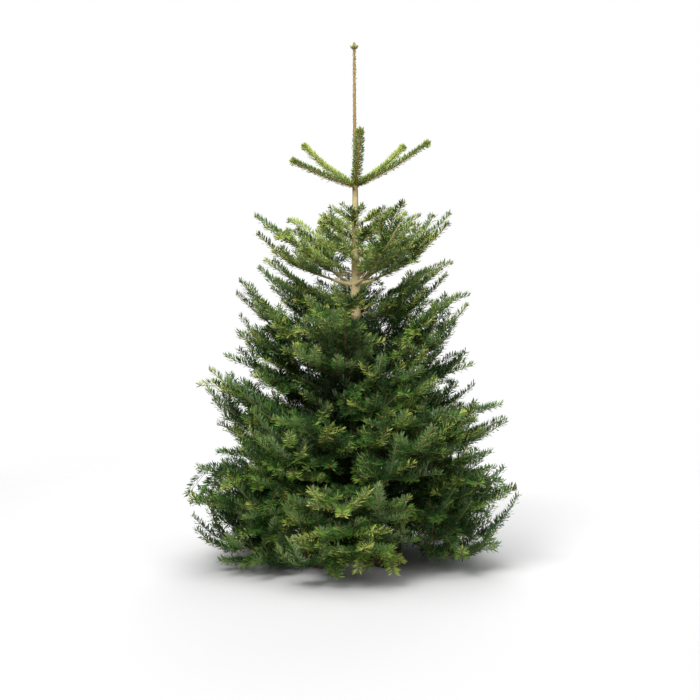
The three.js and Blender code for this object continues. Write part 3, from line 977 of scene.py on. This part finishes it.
class FIR_OT_twigs(bpy.types.Operator):
    """Twigs of every tier, young and old"""

    bl_idname = "fir.twigs"
    bl_label = "Twigs"

    def execute(self, context):
        seed = context.scene.fir_growth.seed
        groups = {"upper_twigs": ("top_shoot", "upper_spray", "upper_inner_spray"),
                  "middle_twigs": ("middle_spray", "middle_inner_spray"),
                  "lower_twigs": ("lower_spray", "bottom_spray")}
        pale_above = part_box("upper_inner_spray_1")[0][2]
        for piece_name, tiers in groups.items():
            shoots = [grow_mass(name, seed) for tier in tiers for name in nodes_of(tier)]
            if piece_name == "upper_twigs":
                shoots += [trunk_twigs(seed), inner_twigs(seed)]
            shoots = Shoots.join(shoots)
            points, triangles, per_twig = twig_surface(shoots)
            pale = (shoots.thick > 0.0025) & (shoots.start[:, 2] > pale_above)
            slots = np.repeat(np.where(pale, 2, shoots.age > 2), per_twig)
            add_piece(piece_name, points, triangles, twig_materials(), slots, smooth=True)
        return {"FINISHED"}


class FIR_OT_needles(bpy.types.Operator):
    """Needles of every tier, in pieces that stand for their masses"""

    bl_idname = "fir.needles"
    bl_label = "Needles"

    PIECE_LIMIT = 48000  # needles in one piece at most, at four triangles each

    def execute(self, context):
        settings = context.scene.fir_growth
        for tier, plan in TIERS.items():
            names = nodes_of(tier)
            grown = {}
            for name in names:
                rng = np.random.default_rng([settings.seed, CROWN_NEEDLES, sum(map(ord, name))])
                shoots = grow_mass(name, settings.seed)
                # The mass in front takes more light green shoots, a painted highlight.
                light = plan["light"] + (PAINTED_HIGHLIGHT_SHARE if name == PAINTED_HIGHLIGHT_MASS else 0.0)
                upper, under = needle_colours(shoots, light, rng)
                grown[name] = needles_on(
                    shoots, upper, under, rng, settings, density=plan["cover"], size=plan["needle"])
            count = sum(len(slots) // 4 for _, _, slots in grown.values())
            pieces = np.array_split(names, math.ceil(count / self.PIECE_LIMIT))
            for number, members in enumerate(pieces, 1):
                parts = [grown[name] for name in members]
                if tier == "top_shoot":
                    parts += self.top_stubs(names, settings) + self.leader_needles(settings)
                label = tier.rsplit("_", 1)[0] + "_needles" + (f"_{number}" if len(pieces) > 1 else "")
                piece = self.needle_piece(label, *joined(parts))
                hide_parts(*[str(name) for name in members])
        twigs = inner_twigs(settings.seed)
        rng = np.random.default_rng([settings.seed, INNER_NEEDLES])
        # A light share of 0 gives these needles inside the crown mostly the painted-shade underside.
        upper, under = needle_colours(twigs, 0.0, rng)
        needles = needles_on(twigs, upper, under, rng, settings, density=0.7, size=1.25)
        self.needle_piece("inner_needles", *needles)
        return {"FINISHED"}

    @staticmethod
    def needle_piece(name, points, triangles, slots):
        """One joined piece of needles with all their finishes."""
        return add_piece(name, points, triangles, needle_materials(), slots)

    @staticmethod
    def close_needles(shoots, top, under, rng, settings, density, size, splay, reference=UP):
        """Needles all round the shoots, of one upper and one under colour."""
        count = len(shoots)
        return needles_on(shoots, np.full(count, top), np.full(count, under), rng, settings, density=density,
                          size=size, splay=splay, all_round=True, reference=reference)

    def top_stubs(self, names, settings):
        """Short golden needles close to the shoots of the top whorl, and a green tuft at the end of each."""
        rng = np.random.default_rng([settings.seed, TOP_NEEDLES])
        shoots = Shoots.join([grow_mass(name, settings.seed) for name in names])
        ends = shoots.copy()
        ends.start = shoots.end - unit(shoots.end - shoots.middle) * 0.016
        ends.middle = (ends.start + ends.end) / 2
        return [self.close_needles(shoots, GOLDEN, GOLDEN, rng, settings, 0.9, 0.4, (0.4, 0.6)),
                self.close_needles(ends, FRESH, FRESH, rng, settings, 5.0, 0.6, (0.9, 1.3))]

    def leader_needles(self, settings):
        """Short golden needles close to the leading shoot, green ones at its foot, and the weak twigs'."""
        rng = np.random.default_rng([settings.seed, LEADER_NEEDLES])
        leader = leading_shoot()
        low = leader.copy()
        low.end = low.start + (leader.end - leader.start) * 0.36
        low.middle = (low.start + low.end) / 2
        side = np.array([1.0, 0.0, 0.0])
        stubs = self.close_needles(leader, GOLDEN, GOLDEN, rng, settings, 0.65, 0.36, (0.3, 0.42), side)
        tufts = self.close_needles(low, FRESH, SILVER, rng, settings, 0.7, 0.62, (0.42, 0.6), side)
        twigs = trunk_twigs(settings.seed)
        upper, under = needle_colours(twigs, 0.9, rng)
        return [stubs, tufts, needles_on(twigs, upper, under, rng, settings, density=1.2, size=0.85)]


class FIR_OT_buds(bpy.types.Operator):
    """Winter buds at the ends of the young shoots"""

    bl_idname = "fir.buds"
    bl_label = "Buds"

    FRESH_LENGTH = 0.0102  # longer buds than this are fresh and green

    def execute(self, context):
        seed = context.scene.fir_growth.seed
        rng = np.random.default_rng([seed, BUDS])
        clusters = []
        for tier, plan in TIERS.items():
            shoots = Shoots.join([grow_mass(name, seed) for name in nodes_of(tier)])
            clusters.append(bud_cluster(shoots.only(shoots.age == 1), rng, plan["bud"]))
        clusters.append(bud_cluster(trunk_twigs(seed), rng, TIERS["upper_spray"]["bud"]))
        clusters.append(self.crown_buds())
        points, aims, lengths = (np.concatenate(parts) for parts in zip(*clusters))
        surface, triangles, per_bud = bud_surface(points, aims, lengths)
        slots = np.repeat(lengths > self.FRESH_LENGTH, per_bud)
        add_piece("buds", surface, triangles, bud_materials(), slots, smooth=True)
        return {"FINISHED"}

    @staticmethod
    def crown_buds():
        """The leading shoot's cluster: one bud ahead and six leaning out around it."""
        tip = leading_shoot().end[0]
        ring = compass(np.arange(6) * TAU / 6 + 0.3)
        points = np.vstack([tip - UP * 0.014, tip + ring * 0.003 - UP * 0.020])
        aims = unit(np.vstack([UP, ring * 1.1 + UP]))
        return points, aims, np.array([0.017] + [0.016] * 6)


class FIR_OT_stand(bpy.types.Operator):
    """Wooden cross of two halved planks, with rounded edges and two nails"""

    bl_idname = "fir.stand"
    bl_label = "Stand"

    EDGE = 0.0025  # radius of the planks' rounded edges
    NAIL_X, NAIL_RADIUS, NAIL_RIM = 0.040, 0.0035, 0.0024  # a head's place, radius and rounded top's radius

    def execute(self, context):
        for name, turn in (("stand_lower_plank", math.radians(45)), ("stand_upper_plank", math.radians(135))):
            points, triangles = self.plank(name, turn)
            material = timber_material(name.replace("stand", "timber"), -turn)
            piece = add_piece(name + "_sawn", points, triangles, [material])
            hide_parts(name)
        sunk_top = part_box("stand_upper_plank")[1][2] - 0.001
        places = np.array([[self.NAIL_X, 0, sunk_top], [-self.NAIL_X, 0, sunk_top]])
        height = np.array([0.0, 0.0015, 0.0022])
        centres = places[:, None, :] + height[None, :, None] * UP
        radii = np.tile([self.NAIL_RADIUS, self.NAIL_RADIUS, self.NAIL_RIM], (2, 1))
        surface, triangles, _ = tubes(centres, radii, 12, reference=np.array([1.0, 0, 0]))
        steel = Surface("nail_steel", {"Base Color": linear((0.55, 0.55, 0.56)), "Metallic": 1.0,
                                       "Roughness": 0.4}).material
        add_piece("stand_nails", surface, triangles, [steel])
        return {"FINISHED"}

    def plank(self, name, turn):
        """A rounded rectangle carried along the plank, lower or higher where the two planks cross."""
        points, _ = node_arrays(name)
        along = compass(turn)
        across = np.cross(UP, along)
        u, v, z = points @ along, points @ across, points[:, 2]
        inner = np.unique(np.round(np.abs(u), 4))[0]
        half, side = u.max(), v.max()
        crossing = np.round(z[np.abs(u) < inner + 0.01], 4)
        full, halved, edge = (z.min(), z.max()), (crossing.min(), crossing.max()), self.EDGE
        stations = [(-half, *full, edge), (-half + edge, *full, 0), (-inner, *full, 0), (-inner, *halved, 0)]
        stations += [(-x, low, high, shrink) for x, low, high, shrink in reversed(stations)]
        corner = np.radians(np.arange(0, 360, 90))[:, None] + np.radians([0, 30, 60, 90])[None, :]
        signs = np.array([[1, 1], [-1, 1], [-1, -1], [1, -1]])
        rings = []
        for x, low, high, shrink in stations:
            reach = np.array([side - shrink - edge, (high - low) / 2 - shrink - edge])
            arc = np.stack([np.cos(corner), np.sin(corner)], axis=-1) * edge
            outline = (signs[:, None, :] * reach + arc).reshape(-1, 2)
            middle = (high + low) / 2
            rings.append(x * along + outline[:, :1] * across + (outline[:, 1:] + middle) * UP)
        return self.loft(np.array(rings))

    @staticmethod
    def loft(rings):
        """Walls between rings of points, closed at each end by a fan about the ring's middle."""
        rows, sides, _ = rings.shape
        points = np.concatenate([rings.reshape(-1, 3), rings[:1].mean(axis=1), rings[-1:].mean(axis=1)])
        return points, tube_faces(rows, sides)[:, ::-1]


class FIR_OT_stage(bpy.types.Operator):
    """Pale floor, soft lights and the camera"""

    bl_idname = "fir.stage"
    bl_label = "Stage"

    LAMPS = (  # name, place, side length and power in watts
        ("key", (-1.7, -2.7, 3.5), 1.8, 190.0),
        ("top", (0.2, -0.4, 4.2), 3.2, 130.0),
        ("fill", (2.9, -2.4, 1.7), 2.2, 50.0),
        ("back", (0.6, 3.0, 3.0), 2.2, 90.0),
    )
    LENS, SENSOR = 63.5, 36.0  # millimetres
    EYE = (-0.014, -4.2)  # where the camera stands
    EYE_SHARE = 0.57  # its height as a share of the tree's
    LOOKS_DOWN = 3.82  # degrees by which it looks down
    LIT_STRENGTH = 0.18  # how strongly the surroundings light the tree, where they show at 1
    FLOOR_RADIUS = 3.4
    FLOOR_GREYS = (0.54, 0.80)  # in front, where the key light is strong, and behind
    GREY_FROM, GREY_TO = -1.4, 2.6  # the depths between which the floor goes from one to the other
    FADE_FROM, FADE_TO = 1.1, 2.9  # the distances from the middle between which it fades out

    def execute(self, context):
        scene = context.scene
        scene.view_settings.view_transform = "Standard"
        low, high = (np.array(corner) for corner in cad_box)
        height = high[2] - low[2]
        self.floor()
        self.studio(scene)
        target = Vector((0, 0, low[2] + 0.5 * height))
        for name, place, size, power in self.LAMPS:
            lamp = bpy.data.lights.new(name, "AREA")
            lamp.shape, lamp.size, lamp.energy = "SQUARE", size, power
            light = linked(name, lamp)
            light.location = place
            light.rotation_euler = (target - light.location).to_track_quat("-Z", "Y").to_euler()
        lens = bpy.data.cameras.new("view")
        lens.lens, lens.sensor_width = self.LENS, self.SENSOR
        camera = linked("view", lens)
        camera.location = (*self.EYE, self.EYE_SHARE * height)
        camera.rotation_euler = (math.radians(90 - self.LOOKS_DOWN), 0, 0)
        scene.camera = camera
        return {"FINISHED"}

    def studio(self, scene):
        """White surroundings, which light the tree less than they show."""
        world = bpy.data.worlds.new("studio")
        world.use_nodes = True
        nodes, links = world.node_tree.nodes, world.node_tree.links
        seen, lit = nodes["Background"], nodes.new("ShaderNodeBackground")
        for background, strength in ((seen, 1.0), (lit, self.LIT_STRENGTH)):
            background.inputs["Color"].default_value = (1, 1, 1, 1)
            background.inputs["Strength"].default_value = strength
        path, mix = nodes.new("ShaderNodeLightPath"), nodes.new("ShaderNodeMixShader")
        links.new(path.outputs["Is Camera Ray"], mix.inputs[0])
        links.new(lit.outputs[0], mix.inputs[1])
        links.new(seen.outputs[0], mix.inputs[2])
        links.new(mix.outputs[0], nodes["World Output"].inputs["Surface"])
        scene.world = world

    def floor(self):
        """A pale disc of floor, lighter where the lamps reach it less, which fades out towards its rim."""
        corners = 96
        rim = compass(np.arange(corners) * TAU / corners) * self.FLOOR_RADIUS + UP * cad_box[0][2]
        mesh = bpy.data.meshes.new("floor")
        mesh.from_pydata(rim.tolist(), [], [tuple(range(corners))])
        surface = Surface("floor_paint", {"Roughness": 0.85})
        reach = surface.node("ShaderNodeVectorMath", {"operation": "LENGTH"}, {0: surface.place()}, output=1)
        depth = surface.node("ShaderNodeSeparateXYZ", (), {0: surface.place()}, output=1)
        near, far = ((grey, grey, grey, 1) for grey in self.FLOOR_GREYS)
        colour = surface.blend(smoothed(surface, depth, self.GREY_FROM, self.GREY_TO), near, far)
        surface.feed(Base_Color=colour, Alpha=1 - smoothed(surface, reach, self.FADE_FROM, self.FADE_TO))
        mesh.materials.append(surface.material)
        floor = linked("floor", mesh)


# ---- Panel and run ----


class FIR_PT_panel(bpy.types.Panel):
    """Settings of the tree and a button for each group of pieces"""

    bl_idname = "FIR_PT_panel"
    bl_label = "Cut Fir"
    bl_space_type = "VIEW_3D"
    bl_region_type = "UI"
    bl_category = "Fir"

    def draw(self, context):
        for group in (context.scene.fir_growth, context.scene.fir_looks):
            box = self.layout.box()
            for name in group.__annotations__:
                box.prop(group, name)
        for operator in OPERATORS:
            self.layout.operator(operator.bl_idname)


OPERATORS = (
    FIR_OT_stage, FIR_OT_trunk, FIR_OT_boughs, FIR_OT_twigs, FIR_OT_needles, FIR_OT_buds, FIR_OT_stand,
)
CLASSES = (FirGrowthSettings, FirLookSettings, *OPERATORS, FIR_PT_panel)


def register():
    for cls in CLASSES:
        bpy.utils.register_class(cls)
    bpy.types.Scene.fir_growth = bpy.props.PointerProperty(type=FirGrowthSettings)
    bpy.types.Scene.fir_looks = bpy.props.PointerProperty(type=FirLookSettings)


def unregister():
    del bpy.types.Scene.fir_growth
    del bpy.types.Scene.fir_looks
    for cls in reversed(CLASSES):
        bpy.utils.unregister_class(cls)


def main():
    """Makes every piece."""
    register()
    for operator in OPERATORS:
        group, name = operator.bl_idname.split(".")
        getattr(getattr(bpy.ops, group), name)()


if __name__ == "__main__":
    main()
